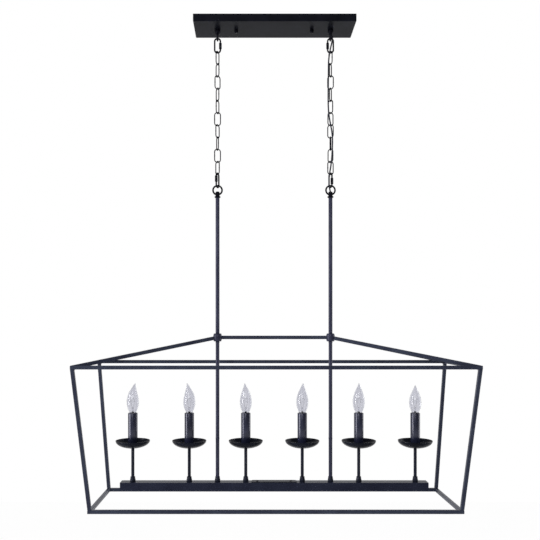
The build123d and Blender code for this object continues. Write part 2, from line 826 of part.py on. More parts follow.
with BuildPart() as canopy_lead:
    add(cord(whole_cord[:4] + [first_cut], cord_radii[:3], cord_diameter, cord_flats).part)
    for i in (-1, 0, 1):
        start = (cord_in[0], cord_in[1] + i * cord_diameter / 4, cord_in[2])
        end = (connector_x + conductor_diameter / 3, connector_y + i * connector_pitch, connector_z)
        add(cord([start, end], [], conductor_diameter, lead_flats).part)
save("canopy_lead", canopy_lead)

connector_corners = connector_diameter / cos(pi / pin_flats)
with BuildPart() as wire_connectors:
    for i in (-1, 0, 1):
        mouth = (connector_x, connector_y + i * connector_pitch, connector_z)
        tip = (connector_x - connector_length, connector_y + i * connector_pitch, connector_z)
        mouth_ring = ring(Plane(mouth, x_dir=(0, 1, 0), z_dir=(-1, 0, 0)), connector_corners, pin_flats, 0.5)
        tip_ring = ring(Plane(tip, x_dir=(0, 1, 0), z_dir=(-1, 0, 0)), connector_tip_diameter, pin_flats, 0.5)
        add(frustum(mouth_ring, tip_ring))
save("wire_connectors", wire_connectors)

supply_cord = cord([first_cut] + whole_cord[4:-1] + [last_cut], cord_radii[3:], cord_diameter, cord_flats)
save("supply_cord", supply_cord)

# Inside the fixture: the cord down the right stem to a block in the middle of the light bar,
# and from there a lead to each candle.
block_z = light_bar_floor + fit_gap + block_height / 2
stem_cord = [last_cut, (stem_x, 0, block_z), (block_length / 2, 2 * lead_pitch, block_z)]
with BuildPart() as bar_wiring:
    with Locations((0, 0, block_z)):
        Box(block_length, block_width, block_height)
    add(cord(stem_cord, [3.2 * cord_diameter], cord_diameter, cord_flats).part)
    for x in candle_places:
        side = 1 if x > 0 else -1
        rank = round((abs(x) / candle_pitch) - 0.5)
        lead = [
            (side * block_length / 2, -rank * lead_pitch, block_z),
            (x - side * candle_pitch / 3, -rank * lead_pitch, block_z),
            (x, 0, block_z),
            (x, 0, arm_top_z),
        ]
        if rank == 0:
            lead.pop(1)
        radii = [3.2 * lead_diameter] * (len(lead) - 2)
        add(cord(lead, radii, lead_diameter, lead_flats).part)
save("bar_wiring", bar_wiring)
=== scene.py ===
from math import cos, pi, radians, sin

import bpy
from mathutils import Matrix, Vector


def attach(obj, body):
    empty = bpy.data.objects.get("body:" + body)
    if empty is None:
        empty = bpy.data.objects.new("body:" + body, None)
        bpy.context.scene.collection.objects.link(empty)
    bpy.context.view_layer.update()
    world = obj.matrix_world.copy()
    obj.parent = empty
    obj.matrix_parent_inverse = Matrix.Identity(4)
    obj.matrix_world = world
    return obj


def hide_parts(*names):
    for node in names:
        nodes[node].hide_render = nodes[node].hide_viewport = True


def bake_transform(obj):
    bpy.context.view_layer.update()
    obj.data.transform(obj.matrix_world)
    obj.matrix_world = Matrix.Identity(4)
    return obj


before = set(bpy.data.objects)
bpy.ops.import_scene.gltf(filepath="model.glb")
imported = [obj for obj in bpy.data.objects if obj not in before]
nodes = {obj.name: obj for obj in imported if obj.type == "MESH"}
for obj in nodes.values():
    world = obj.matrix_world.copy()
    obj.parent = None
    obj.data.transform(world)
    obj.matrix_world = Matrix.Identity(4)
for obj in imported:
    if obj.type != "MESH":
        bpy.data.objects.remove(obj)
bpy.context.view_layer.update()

scene = bpy.context.scene
mm = 0.001  # sizes are written in millimetres and built in metres
samePoint = 0.002  # points closer than this many millimetres are merged
nearPoint = 0.01  # how far off a point may lie and still be picked by its place

# the camera looks level at the front of the pendant, about as high as the hubs; fitted to the photograph
view = {
    "place": (-0.0629, -1.749, -0.7705),  # metres
    "turn": (pi / 2, 0, 0),  # level, looking along +Y
    "lens": 46.37,
    "sensor": 36,
    "shift": (0.0389, 0.1093),
    "reach": 50,
}

cameraData = bpy.data.cameras.new("roomCamera")
cameraData.sensor_width = view["sensor"]
cameraData.lens = view["lens"]
cameraData.shift_x, cameraData.shift_y = view["shift"]
cameraData.clip_end = view["reach"]
camera = bpy.data.objects.new("roomCamera", cameraData)
camera.location = view["place"]
camera.rotation_euler = view["turn"]
scene.collection.objects.link(camera)
scene.camera = camera
scene.view_settings.view_transform = "Standard"
print("camera made")


def deselectAll():
    if bpy.context.object and bpy.context.object.mode != "OBJECT":
        bpy.ops.object.mode_set(mode="OBJECT")
    bpy.ops.object.select_all(action="DESELECT")


def makeActive(piece):
    deselectAll()
    piece.select_set(True)
    bpy.context.view_layer.objects.active = piece


def nameIt(name):
    piece = bpy.context.object
    piece.name = name
    piece.data.name = name
    return piece


def selectWhere(piece, test):  # leaves the piece in edit mode with the wanted points selected
    makeActive(piece)
    picked = [test(vertex.co / mm) for vertex in piece.data.vertices]
    bpy.ops.object.mode_set(mode="EDIT")
    bpy.ops.mesh.select_mode(type="VERT")
    bpy.ops.mesh.select_all(action="DESELECT")
    bpy.ops.object.mode_set(mode="OBJECT")
    for vertex in piece.data.vertices:
        vertex.select = picked[vertex.index]
    bpy.ops.object.mode_set(mode="EDIT")


def cleanUp(piece, angle=35):  # merges points, turns the normals outwards and shades by angle
    makeActive(piece)
    bpy.ops.object.mode_set(mode="EDIT")
    bpy.ops.mesh.select_mode(type="VERT")
    bpy.ops.mesh.select_all(action="SELECT")
    bpy.ops.mesh.remove_doubles(threshold=samePoint * mm)
    bpy.ops.mesh.delete_loose()
    bpy.ops.mesh.select_all(action="SELECT")
    bpy.ops.mesh.normals_make_consistent(inside=False)
    bpy.ops.object.mode_set(mode="OBJECT")
    if angle:
        bpy.ops.object.shade_smooth_by_angle(angle=radians(angle))
    return piece


def softenEdges(piece, width, segments=2, angle=30):
    makeActive(piece)
    bevel = piece.modifiers.new("softEdge", "BEVEL")
    bevel.width = width * mm
    bevel.segments = segments
    bevel.limit_method = "ANGLE"
    bevel.angle_limit = radians(angle)
    bpy.ops.object.modifier_apply(modifier=bevel.name)


# turns (radius, height) points round the Z axis; ring joins the last point to the first to close a wall
def turnProfile(name, profile, sides=32, ring=True, soft=0.0, angle=35):
    deselectAll()
    bpy.ops.mesh.primitive_plane_add(size=mm)
    piece = nameIt(name)
    bpy.ops.object.mode_set(mode="EDIT")
    bpy.ops.mesh.select_mode(type="VERT")
    bpy.ops.mesh.select_all(action="SELECT")
    bpy.ops.mesh.merge(type="CENTER")
    bpy.ops.transform.translate(value=(profile[0][0] * mm, 0, profile[0][1] * mm))
    for (r0, z0), (r1, z1) in zip(profile, profile[1:]):
        step = ((r1 - r0) * mm, 0, (z1 - z0) * mm)
        bpy.ops.mesh.extrude_vertices_move(TRANSFORM_OT_translate={"value": step})
    if ring:
        ends = [Vector((r, 0, z)) for r, z in (profile[0], profile[-1])]
        selectWhere(piece, lambda place: min((place - end).length for end in ends) < nearPoint)
        bpy.ops.mesh.edge_face_add()
    bpy.ops.mesh.select_all(action="SELECT")
    bpy.ops.mesh.spin(steps=sides, angle=2 * pi, center=(0, 0, 0), axis=(0, 0, 1))
    cleanUp(piece, None)
    if soft:
        softenEdges(piece, soft)
    cleanUp(piece, angle)
    return piece


def copyTo(piece, name, matrix):
    new = piece.copy()
    new.data = piece.data.copy()
    new.name = name
    new.data.name = name
    new.data.transform(matrix)
    scene.collection.objects.link(new)
    return new


def joinAll(name, pieces):
    deselectAll()
    for piece in pieces:
        piece.select_set(True)
    bpy.context.view_layer.objects.active = pieces[0]
    bpy.ops.object.join()
    return nameIt(name)


def copyAlong(piece, name, places):
    made = []
    for i, place in enumerate(places):
        made.append(copyTo(piece, f"{name}{i}", Matrix.Translation(Vector(place) * mm)))
    bpy.data.objects.remove(piece)
    return joinAll(name, made)


def inMetres(points):
    return [Vector(point) * mm for point in points]


def wireTube(name, points, radius, around):  # points in metres, radius in millimetres
    line = bpy.data.curves.new(name, "CURVE")
    line.dimensions = "3D"
    line.bevel_depth = radius * mm
    line.bevel_resolution = around
    line.use_fill_caps = True
    spline = line.splines.new("POLY")
    spline.points.add(len(points) - 1)
    for point, place in zip(spline.points, points):
        point.co = (*place, 1)
    piece = bpy.data.objects.new(name, line)
    scene.collection.objects.link(piece)
    makeActive(piece)
    bpy.ops.object.convert(target="MESH")
    return cleanUp(nameIt(name), 50)


def routePoints(name, points, order=3, steps=6):  # points along a smooth line that bends past its corners
    line = bpy.data.curves.new(name, "CURVE")
    line.dimensions = "3D"
    line.resolution_u = steps
    spline = line.splines.new("NURBS")
    spline.points.add(len(points) - 1)
    for point, place in zip(spline.points, points):
        point.co = (*place, 1)
    spline.order_u = order
    spline.use_endpoint_u = True
    guide = bpy.data.objects.new(name, line)
    scene.collection.objects.link(guide)
    bpy.context.view_layer.update()
    mesh = bpy.data.meshes.new_from_object(guide)
    places = [vertex.co.copy() for vertex in mesh.vertices]
    bpy.data.objects.remove(guide)
    return places


def hexColour(code):
    values = [int(code[i:i + 2], 16) / 255 for i in (1, 3, 5)]
    return [v / 12.92 if v <= 0.04045 else ((v + 0.055) / 1.055) ** 2.4 for v in values] + [1]


def addNode(tree, kind, settings, sockets):
    node = tree.nodes.new("ShaderNode" + kind)
    for name, value in settings.items():
        setattr(node, name, value)
    for name, value in sockets.items():  # another node's output is linked, any other value is set
        if isinstance(value, bpy.types.NodeSocket):
            tree.links.new(value, node.inputs[name])
        else:
            node.inputs[name].default_value = value
    return node


def emptyMaterial(name):
    material = bpy.data.materials.new(name)
    material.use_nodes = True
    material.node_tree.nodes.clear()
    return material, material.node_tree


def grainNoise(tree, size, detail):  # the pattern repeats at about this size in millimetres
    spot = addNode(tree, "TexCoord", {}, {}).outputs["Object"]
    sockets = {"Vector": spot, "Scale": 1 / (size * mm), "Detail": detail}
    return addNode(tree, "TexNoise", {}, sockets).outputs["Fac"]


def mixColour(tree, share, first, second):
    sockets = {"Factor": share, "A": first, "B": second}
    return addNode(tree, "Mix", {"data_type": "RGBA"}, sockets).outputs["Result"]


def spread(tree, value, low, high, start=0, end=1):  # turns start to end into low to high
    sockets = {"Value": value, "From Min": start, "From Max": end, "To Min": low, "To Max": high}
    return addNode(tree, "MapRange", {}, sockets).outputs["Result"]


finishLook = {
    "patchSpread": (0.32, 0.7),  # where the noise turns from the deep colour to the pale one
    "rubShare": 1 / 6,  # rubbed spots, as a share of a patch
    "bumpHeight": 0.2,
    "edgeSpread": (0.97, 0.8),  # dot product of flat and rounded normals where the painted edge highlight and the wear begin and are full
    "edgeSamples": 8,
}


def makeFinish(name, look):
    material, tree = emptyMaterial(name)
    patch = spread(tree, grainNoise(tree, look["patch"], 4), 0, 1, *finishLook["patchSpread"])
    colour = mixColour(tree, patch, hexColour(look["deep"]), hexColour(look["pale"]))
    rub = grainNoise(tree, look["patch"] * finishLook["rubShare"], 3)
    bump = {
        "Height": grainNoise(tree, look["grit"], 2), "Strength": look["relief"],
        "Distance": finishLook["bumpHeight"] * mm}
    if look.get("edgeWidth"):  # sharp edges get a painted highlight and are also rubbed paler
        soft = addNode(tree, "Bevel", {"samples": finishLook["edgeSamples"]}, {"Radius": look["edgeWidth"] * mm})
        bump["Normal"] = soft.outputs["Normal"]
        flat = addNode(tree, "NewGeometry", {}, {}).outputs["Normal"]
        match = addNode(tree, "VectorMath", {"operation": "DOT_PRODUCT"}, {0: bump["Normal"], 1: flat})
        edge = spread(tree, match.outputs["Value"], 0, look["edgeWearAndHighlight"], *finishLook["edgeSpread"])
        share = addNode(tree, "Math", {"operation": "MULTIPLY", "use_clamp": True}, {0: edge, 1: rub})
        colour = mixColour(tree, share.outputs["Value"], colour, hexColour(look["edge"]))
    shader = addNode(tree, "BsdfPrincipled", {}, {
        "Base Color": colour, "Metallic": look.get("metallic", 0),
        "Roughness": spread(tree, rub, *look["rough"]),
        "Specular IOR Level": look.get("gloss", 0.5),
        "Specular Tint": hexColour(look.get("tint", "#ffffff")),
        "Normal": addNode(tree, "Bump", {}, bump).outputs["Normal"]})
    addNode(tree, "OutputMaterial", {}, {"Surface": shader.outputs["BSDF"]})
    return material


# patch, grit and edgeWidth are in millimetres; the shades of black are matched to the photograph
# powder-coated steel: sprayed and baked, a soft satin sheen that reads as a bluish black
# its orange peel is about 1 mm across, too fine to show, and is drawn at 6 mm
powderCoat = {
    "deep": "#191b29", "pale": "#222533", "edge": "#4a4c5e", "edgeWearAndHighlight": 0.4, "edgeWidth": 0.6,
    "tint": "#c4c8dc", "gloss": 0.11, "rough": (0.32, 0.4), "patch": 45, "grit": 6, "relief": 0.012,
}
lightBarPaint = makeFinish("powderCoatedSteelBox", powderCoat)
# cover plate: lies flat and would mirror the white room, so less gloss
coverPaint = makeFinish("powderCoatedSteelPlate", dict(
    powderCoat, deep="#11131c", pale="#181a25", gloss=0.035))
# pressed steel pan: the same coat, nearly black in the photograph; its darker colour is painted shade
canopyPaint = makeFinish("powderCoatedPressedSteel", dict(
    powderCoat, deep="#0b0c11", pale="#12131a", gloss=0.035, edge="#3e3e49"))
# spun steel bowls: smoother under the coat, so a tighter highlight round the rim
bowlPaint = makeFinish("powderCoatedSpunSteel", dict(
    powderCoat, deep="#0d0e14", pale="#141720", gloss=0.08, edgeWidth=0, rough=(0.2, 0.32)))
# bent wire and turned fittings: taken as dipped, the darkest of the coats, with small uneven patches
wirePaint = makeFinish("dippedBlackSteelWire", dict(
    powderCoat, deep="#09090e", pale="#111119", gloss=0.05, edgeWidth=0, rough=(0.3, 0.4), patch=8))
# screws: taken as black oxide, dry and almost matte, so that they show as dots on the cover
oxideBlack = makeFinish("blackOxideSteel", dict(
    powderCoat, deep="#050507", pale="#0a0a0d", gloss=0.02, edgeWidth=0, rough=(0.5, 0.6), patch=4))
# candle covers: taken as moulded black polycarbonate, glossier than the paint, with a streak down the lit side
sleevePlastic = makeFinish("mouldedPolycarbonate", dict(
    powderCoat, deep="#141726", pale="#1f2236", gloss=0.66, rough=(0.22, 0.26), edgeWidth=0, tint="#e0e0f0",
    relief=0.004))
# square steel bar: drawn smooth before coating, so it mirrors more of the white room
barPaint = makeFinish("powderCoatedSquareBar", dict(
    powderCoat, deep="#252836", pale="#313644", edge="#52566a", gloss=0.2))
# thin tube and turned couplings: the same coat, darker than the cage in the photograph; the darker colour is painted
# shade
smallPaint = makeFinish("powderCoatedThinTube", dict(
    powderCoat, deep="#13151e", pale="#1b1e2a", gloss=0.16, rough=(0.28, 0.34), edgeWidth=0, relief=0.006))
# round steel tube: drawn smooth like the bar, glossier along its curve
tubePaint = makeFinish("powderCoatedDrawnTube", dict(
    powderCoat, deep="#232434", pale="#2f3043", gloss=0.3, rough=(0.28, 0.34), edgeWidth=0, relief=0.006))
# zinc-plated steel: pale metal with a cloudy passivated bloom
zincPlate = makeFinish("zincPlatedSteel", {
    "deep": "#8d9096", "pale": "#b9bcc0", "edge": "#d6d8da", "edgeWearAndHighlight": 0.5, "edgeWidth": 0.3, "metallic": 1,
    "rough": (0.28, 0.5), "patch": 17, "grit": 1.1, "relief": 0.15})
# turned brass: warm metal with a fine turned grain
turnedBrass = makeFinish("turnedBrass", {
    "deep": "#9a7433", "pale": "#c9a458", "edge": "#e6cb8a", "edgeWearAndHighlight": 0.5, "edgeWidth": 0.3, "metallic": 1,
    "rough": (0.22, 0.38), "patch": 11, "grit": 1.1, "relief": 0.1})
# nickel-plated rolled shell: bright, smooth and slightly warm
nickelPlate = makeFinish("nickelPlatedShell", {
    "deep": "#a5a39d", "pale": "#d1cfc9", "metallic": 1,
    "rough": (0.18, 0.3), "patch": 7, "grit": 0.8, "relief": 0.06})
# moulded phenolic: hard black resin with a dull moulded skin
phenolic = makeFinish("mouldedPhenolic", {
    "deep": "#0b0b0c", "pale": "#151516", "edge": "#2c2c2e", "edgeWearAndHighlight": 0.5, "edgeWidth": 0.3,
    "rough": (0.4, 0.55), "patch": 8, "grit": 1.4, "relief": 0.2})
# moulded nylon: ochre connectors with a waxy skin
nylon = makeFinish("mouldedNylon", {
    "deep": "#b8862a", "pale": "#cf9c38", "edge": "#dfb968", "edgeWearAndHighlight": 0.4, "edgeWidth": 0.4,
    "rough": (0.4, 0.52), "patch": 7, "grit": 1.2, "relief": 0.15})
# extruded PVC: a black jacket with a low, even sheen
jacketVinyl = makeFinish("extrudedVinyl", {
    "deep": "#101014", "pale": "#19191f", "tint": "#9aa2bd",
    "rough": (0.34, 0.5), "patch": 6, "grit": 0.6, "relief": 0.25})
# drawn tungsten: thin grey wire
tungsten = makeFinish("drawnTungsten", {
    "deep": "#55524c", "pale": "#7d7970", "metallic": 1,
    "rough": (0.3, 0.45), "patch": 2.5, "grit": 0.5, "relief": 0.1})


def makeGlass(name, look):
    material, tree = emptyMaterial(name)
    cloud = grainNoise(tree, look["patch"], 2)
    bump = addNode(tree, "Bump", {}, {
        "Height": grainNoise(tree, look["wave"], 2), "Strength": look["relief"],
        "Distance": look["waveHeight"] * mm})
    shader = addNode(tree, "BsdfPrincipled", {}, {
        "Base Color": mixColour(tree, cloud, hexColour(look["deep"]), hexColour(look["pale"])),
        "Roughness": spread(tree, cloud, *look["rough"]), "IOR": look["ior"], "Transmission Weight": 1,
        "Normal": bump.outputs["Normal"]})
    addNode(tree, "OutputMaterial", {}, {"Surface": shader.outputs["BSDF"]})
    return material


# blown soda-lime glass: clear and slightly wavy; 1.52 is usual, and 1.47 darkens its edges less, as photographed
blownGlass = makeGlass("blownSodaLimeGlass", {
    "deep": "#dadbe1", "pale": "#e8e8ed", "ior": 1.47, "rough": (0.05, 0.07), "patch": 17,
    "wave": 40, "waveHeight": 0.3, "relief": 0.01})
print("finishes made")


def dress(piece, material, body, slotName, *replaced):
    piece.data.materials.clear()
    piece.data.materials.append(material)
    if body:
        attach(piece, body)
    if replaced:
        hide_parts(*replaced)


stemX = 142
stemPlaces = [(-stemX, 0, 0), (stemX, 0, 0)]
cordLook = {
    "radius": 1.8, "around": 4,
    "route": (  # metres: along X and Y from the right stem, and height
        (-0.060, 0.030, -0.01245), (-0.028, 0.012, -0.0024), (0, 0, -0.0022), (0, 0, -0.0265),
        (0.0042, -0.0036, -0.0373), (0.0044, -0.0049, -0.045), (0.0023, -0.0056, -0.055), (-0.0004, -0.0056, -0.066),
        (-0.0028, -0.005, -0.078), (-0.0045, -0.0042, -0.091), (-0.0054, -0.0034, -0.104), (-0.0055, -0.0033, -0.117),
        (-0.0056, -0.0037, -0.13), (-0.0059, -0.0043, -0.143), (-0.0061, -0.005, -0.156), (-0.0063, -0.0053, -0.169),
        (-0.0064, -0.0057, -0.182), (-0.0065, -0.006, -0.195), (-0.0064, -0.0063, -0.208), (-0.0058, -0.0064, -0.221),
        (-0.0047, -0.0065, -0.234), (-0.0027, -0.0065, -0.247), (-0.0001, -0.0066, -0.26), (0.0023, -0.0067, -0.273),
        (0.0038, -0.0069, -0.286), (0.0044, -0.0071, -0.299), (0.004, -0.0073, -0.312), (0.0035, -0.0077, -0.325),
        (0.0027, -0.008, -0.338), (0.0015, -0.008, -0.351), (-0.0002, -0.0078, -0.364), (-0.0025, -0.0076, -0.377),
        (-0.0041, -0.0072, -0.389), (-0.0047, -0.0063, -0.4), (-0.0041, -0.005, -0.409), (-0.0027, -0.0029, -0.417),
        (-0.0007, -0.0007, -0.424), (0, 0, -0.431), (0, 0, -0.443),
    ),
    "parts": (  # name, height where the part ends, the bodies that hold its two ends, what it stands for
        ("cordInCanopy", -0.0319, ("ceiling",), ("canopy_lead",)),
        ("cordAtRing", -0.056, ("ceiling", "right_top_link"), ()),
        ("cordAtQuickLink", -0.090, ("right_top_link", "right_chain"), ()),
        ("cordBesideChain", -0.394, ("right_chain",), ("supply_cord",)),
        ("cordAtStemRing", -0.437, ("right_chain", "cage"), ()),
        ("cordInStem", -1.0, ("cage",), ()),
    ),
}

cordRoute = routePoints("supplyRoute", [(stemX * mm + x, y, z) for x, y, z in cordLook["route"]])
start = 0
for partName, lowest, holders, replaced in cordLook["parts"]:
    end = start + 1
    while end < len(cordRoute) - 1 and cordRoute[end].z > lowest:
        end += 1
    part = wireTube(partName, cordRoute[start:end + 1], cordLook["radius"], cordLook["around"])
    if len(holders) == 1:
        dress(part, jacketVinyl, holders[0], "cord_jacket", *replaced)
    else:
        dress(part, jacketVinyl, None, "cord_jacket", *replaced)
        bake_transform(part)
    start = end
print("supply cord made")

room = {
    "floorZ": -2.0, "wallY": 3.2, "width": 16,  # metres
    "matte": "#f4f4f4",
    "floorShade": 0.03, "wallShade": 0.0,  # how much of its shading a surface shows where it is seen
}


def greatest(tree, first, second):
    return addNode(tree, "Math", {"operation": "MAXIMUM"}, {0: first, 1: second}).outputs["Value"]


def roomSurface(name, shadeShare):  # seen as plain white, but lit and shaded as a matte wall for all other rays
    material, tree = emptyMaterial(name)
    rays = addNode(tree, "LightPath", {}, {}).outputs
    seen = greatest(tree, greatest(tree, rays["Is Camera Ray"], rays["Is Glossy Ray"]), rays["Is Transmission Ray"])
    share = addNode(tree, "Math", {"operation": "MULTIPLY"}, {0: seen, 1: 1 - shadeShare})
    matte = addNode(tree, "BsdfDiffuse", {}, {"Color": hexColour(room["matte"])})
    white = addNode(tree, "Emission", {}, {})
    blend = addNode(tree, "MixShader", {}, {
        "Fac": share.outputs["Value"], 1: matte.outputs["BSDF"], 2: white.outputs["Emission"]})
    addNode(tree, "OutputMaterial", {}, {"Surface": blend.outputs["Shader"]})
    material.cycles.emission_sampling = "NONE"  # its white is met by rays, not aimed at as a lamp
    return material


deselectAll()
bpy.ops.mesh.primitive_plane_add(size=room["width"], location=(0, 0, room["floorZ"]))
floor = nameIt("studioFloor")
floor.data.materials.append(roomSurface("floorWhite", room["floorShade"]))
bpy.ops.mesh.primitive_plane_add(size=room["width"], location=(0, room["wallY"], 0), rotation=(pi / 2, 0, 0))
wall = nameIt("studioWall")
wall.data.materials.append(roomSurface("wallWhite", room["wallShade"]))

air = {"all": 0.42, "seen": 0.58, "gloss": -0.2}  # strength for every ray, and what seen and glossy rays add
world = bpy.data.worlds.new("studioAir")
scene.world = world
world.use_nodes = True
tree = world.node_tree
tree.nodes.clear()
rays = addNode(tree, "LightPath", {}, {}).outputs
lift = addNode(tree, "Math", {"operation": "MULTIPLY_ADD"}, {
    0: greatest(tree, rays["Is Camera Ray"], rays["Is Transmission Ray"]), 1: air["seen"], 2: air["all"]})
sheen = addNode(tree, "Math", {"operation": "MULTIPLY_ADD"}, {
    0: rays["Is Glossy Ray"], 1: air["gloss"], 2: lift.outputs["Value"]})
white = addNode(tree, "Background", {}, {"Color": (1, 1, 1, 1), "Strength": sheen.outputs["Value"]})
addNode(tree, "OutputWorld", {}, {"Surface": white.outputs["Background"]})

lampAim = (0, 0, -0.7)  # metres, near the middle of the pendant
lamps = {  # place in metres, size in metres, watts
    "leftPanel": ((-3.0, -1.1, -0.5), (1.0, 2.6), 90),
    "rightPanel": ((3.0, 0.5, -0.5), (1.2, 2.6), 40),
    "frontPanel": ((-0.7, -3.0, 0.5), (2.2, 1.4), 40),
}
for name, (place, size, watts) in lamps.items():
    data = bpy.data.lights.new(name, "AREA")
    data.shape = "RECTANGLE"
    data.size, data.size_y = size
    data.energy = watts
    lamp = bpy.data.objects.new(name, data)
    lamp.location = place
    lamp.visible_transmission = False  # keeps bright specks out of the glass
    lamp.rotation_euler = (Vector(lampAim) - Vector(place)).to_track_quat("-Z", "Y").to_euler()
    scene.collection.objects.link(lamp)
print("room and light made")

loopLook = {"sides": 36, "soft": 0.25, "wire": 4.3, "ringSteps": 56, "ringSides": 18}
canopyLoop = {
    "profile": [(3.9, -30), (4.8, -30), (7.2, -25.4), (7.2, -18), (5, -18), (5, -11.5), (3.05, -11.5), (3.05, -26)],
    "across": 22, "height": -35.9, "turn": (0, pi / 2, 0),  # the ring stands edge-on to the front
}
stemLoop = {
    "profile": [
        (3.3, -425.3), (3.9, -425.3), (4.75, -426.1), (5.3, -427.9), (5.3, -436.2), (6.3, -436.7), (7.85, -438.2),
        (7.85, -439.2), (6.4, -440.5), (5.6, -440.8), (3.95, -440.8), (3.95, -448.8), (3.05, -448.8), (3.05, -427.9)],
    "across": 27, "height": -421.6, "turn": (pi / 2, 0, 0),  # the ring faces the front
}


def loopWithRing(name, look):
    body = turnProfile(name, look["profile"], loopLook["sides"], soft=loopLook["soft"])
    deselectAll()
    bpy.ops.mesh.primitive_torus_add(
        major_radius=(look["across"] - loopLook["wire"]) / 2 * mm, minor_radius=loopLook["wire"] / 2 * mm,
        major_segments=loopLook["ringSteps"], minor_segments=loopLook["ringSides"],
        location=(0, 0, look["height"] * mm), rotation=look["turn"])
    ring = nameIt(name + "Ring")
    bpy.ops.object.transform_apply(location=True, rotation=True, scale=True)
    cleanUp(ring, 60)
    return joinAll(name, [body, ring])


loops = copyAlong(loopWithRing("canopyLoop", canopyLoop), "canopyLoops", stemPlaces)
dress(loops, wirePaint, "ceiling", "black_metal", "canopy_loops")
loops = copyAlong(loopWithRing("stemLoop", stemLoop), "stemLoops", stemPlaces)
dress(loops, wirePaint, "cage", "black_metal", "stem_loops")
print("loops made")

# every oval ring: width is the outer one and length the inner one
chainLook = {
    "wire": 2.6, "width": 17.3, "length": 30.9, "sides": 14,
    "first": -89.35, "pitch": 30.7,
    "cuts": (-2.4, -1.0, 1.0, 2.4), "weldReach": 1.5, "weldSwell": 1.13,
    "left": (63, 122, 33, 119, 65, 0, 58, 110, 10, 129),  # each link's turn in degrees, from the top
    "right": (117, 64, 158, 65, 131, 24, 152, 75, 139, 17),
}
quickLook = {
    "wire": 4, "width": 18.3, "length": 31.7, "sides": 18,
    "gap": 3,
    "left": ((-58.25, 0, -59.05), (-396.75, 246, -393.75)),  # middle, turn, middle of the sleeve
    "right": ((-58.25, 180, -59.05), (-396.75, 294, -399.75)),
}
ovalSteps = 44


def stretchedRing(name, look):
    bend = (look["width"] - look["wire"]) / 2
    halfLeg = look["length"] / 2 - bend + look["wire"] / 2
    deselectAll()
    bpy.ops.mesh.primitive_torus_add(
        major_radius=bend * mm, minor_radius=look["wire"] / 2 * mm, major_segments=ovalSteps,
        minor_segments=look["sides"], rotation=(pi / 2, pi / ovalSteps, 0))
    ring = nameIt(name)
    bpy.ops.object.transform_apply(location=True, rotation=True, scale=True)
    for side in (1, -1):  # the ring is pulled apart at its middle
        selectWhere(ring, lambda place: place.z * side > 0)
        bpy.ops.transform.translate(value=(0, 0, side * halfLeg * mm))
    return ring


def cutLeg(ring, heights, side):
    for height in heights:
        selectWhere(ring, lambda place: place.x * side > 0)
        bpy.ops.mesh.bisect(plane_co=(0, 0, height * mm), plane_no=(0, 0, 1))
    bpy.ops.object.mode_set(mode="OBJECT")


def hangAt(x, z, turn):
    return Matrix.Translation((x * mm, 0, z * mm)) @ Matrix.Rotation(radians(turn), 4, "Z")


link = stretchedRing("chainLink", chainLook)
cutLeg(link, chainLook["cuts"], -1)
legX = -(chainLook["width"] - chainLook["wire"]) / 2 * mm
for vertex in link.data.vertices:  # the weld stands a little proud of the wire
    if vertex.co.x < 0 and abs(vertex.co.z) < chainLook["weldReach"] * mm:
        vertex.co.x = legX + (vertex.co.x - legX) * chainLook["weldSwell"]
        vertex.co.y *= chainLook["weldSwell"]
cleanUp(link, 60)
for side, x in (("left", -stemX), ("right", stemX)):
    hung = []
    for i, turn in enumerate(chainLook[side]):
        hung.append(copyTo(link, f"{side}Link{i}", hangAt(x, chainLook["first"] - i * chainLook["pitch"], turn)))
    chain = joinAll(side + "Chain", hung)
    dress(chain, wirePaint, side + "_chain", "black_metal", "chain_" + side)
bpy.data.objects.remove(link)

for side, x in (("left", -stemX), ("right", stemX)):
    for level, (middle, turn, sleeveZ) in zip(("top", "bottom"), quickLook[side]):
        quick = stretchedRing("quickLink", quickLook)
        shift = sleeveZ - middle
        gap = quickLook["gap"] / 2
        cutLeg(quick, (shift - gap, shift + gap), 1)
        selectWhere(quick, lambda place: place.x > 0 and abs(place.z - shift) < gap + nearPoint)
        bpy.ops.mesh.delete(type="ONLY_FACE")
        bpy.ops.mesh.select_all(action="SELECT")
        bpy.ops.mesh.delete_loose(use_verts=False, use_edges=True, use_faces=False)
        for end in (shift - gap, shift + gap):  # each side of the opening gets a flat end
            selectWhere(quick, lambda place: place.x > 0 and abs(place.z - end) < nearPoint)
            bpy.ops.mesh.edge_face_add()
        cleanUp(quick, 60)
        quick.data.transform(hangAt(x, middle, turn))
        quick.name = quick.data.name = f"{side}{level.title()}QuickLink"
        if level == "top":
            body = side + "_top_link"
        else:
            body = side + "_chain"
        dress(quick, wirePaint, body, "black_metal", f"quick_link_{level}_{side}")
print("chains made")

stemLook = {
    "sides": 40,
    "upper": {
        "pieces": "upperStems", "node": "upper_stems", "soft": 0.1,
        "profile": [(5, -440.8), (5, -785.6), (4, -785.6), (4, -440.8)]},
    "lower": {
        "pieces": "lowerStems", "node": "lower_stems", "soft": 0.1,
        "profile": [
            (4.7, -797.6), (4.7, -801.7), (5.1, -802), (5.1, -804.6), (4.7, -806), (4.7, -1042), (4.95, -1043.5),
            (4.95, -1046.5), (4.7, -1048), (4.7, -1160.5), (3.7, -1160.5), (3.7, -797.6)]},
    "hub": {
        "pieces": "hubs", "node": "hubs", "soft": 0.25,
        "profile": [
            (8.6, -781.6), (9.9, -783.2), (10.6, -786.4), (10.8, -791.6), (10.6, -796.8), (9.9, -800), (8.6, -801.6),
            (4.75, -801.6), (4.75, -797.6), (3.7, -797.6), (3.7, -785.6), (5.05, -785.6), (5.05, -781.6)]},
}
for name in ("upper", "lower", "hub"):
    look = stemLook[name]
    tube = turnProfile(name, look["profile"], stemLook["sides"], soft=look["soft"])
    tube = copyAlong(tube, look["pieces"], stemPlaces)
    dress(tube, tubePaint, "cage", "black_metal", look["node"])

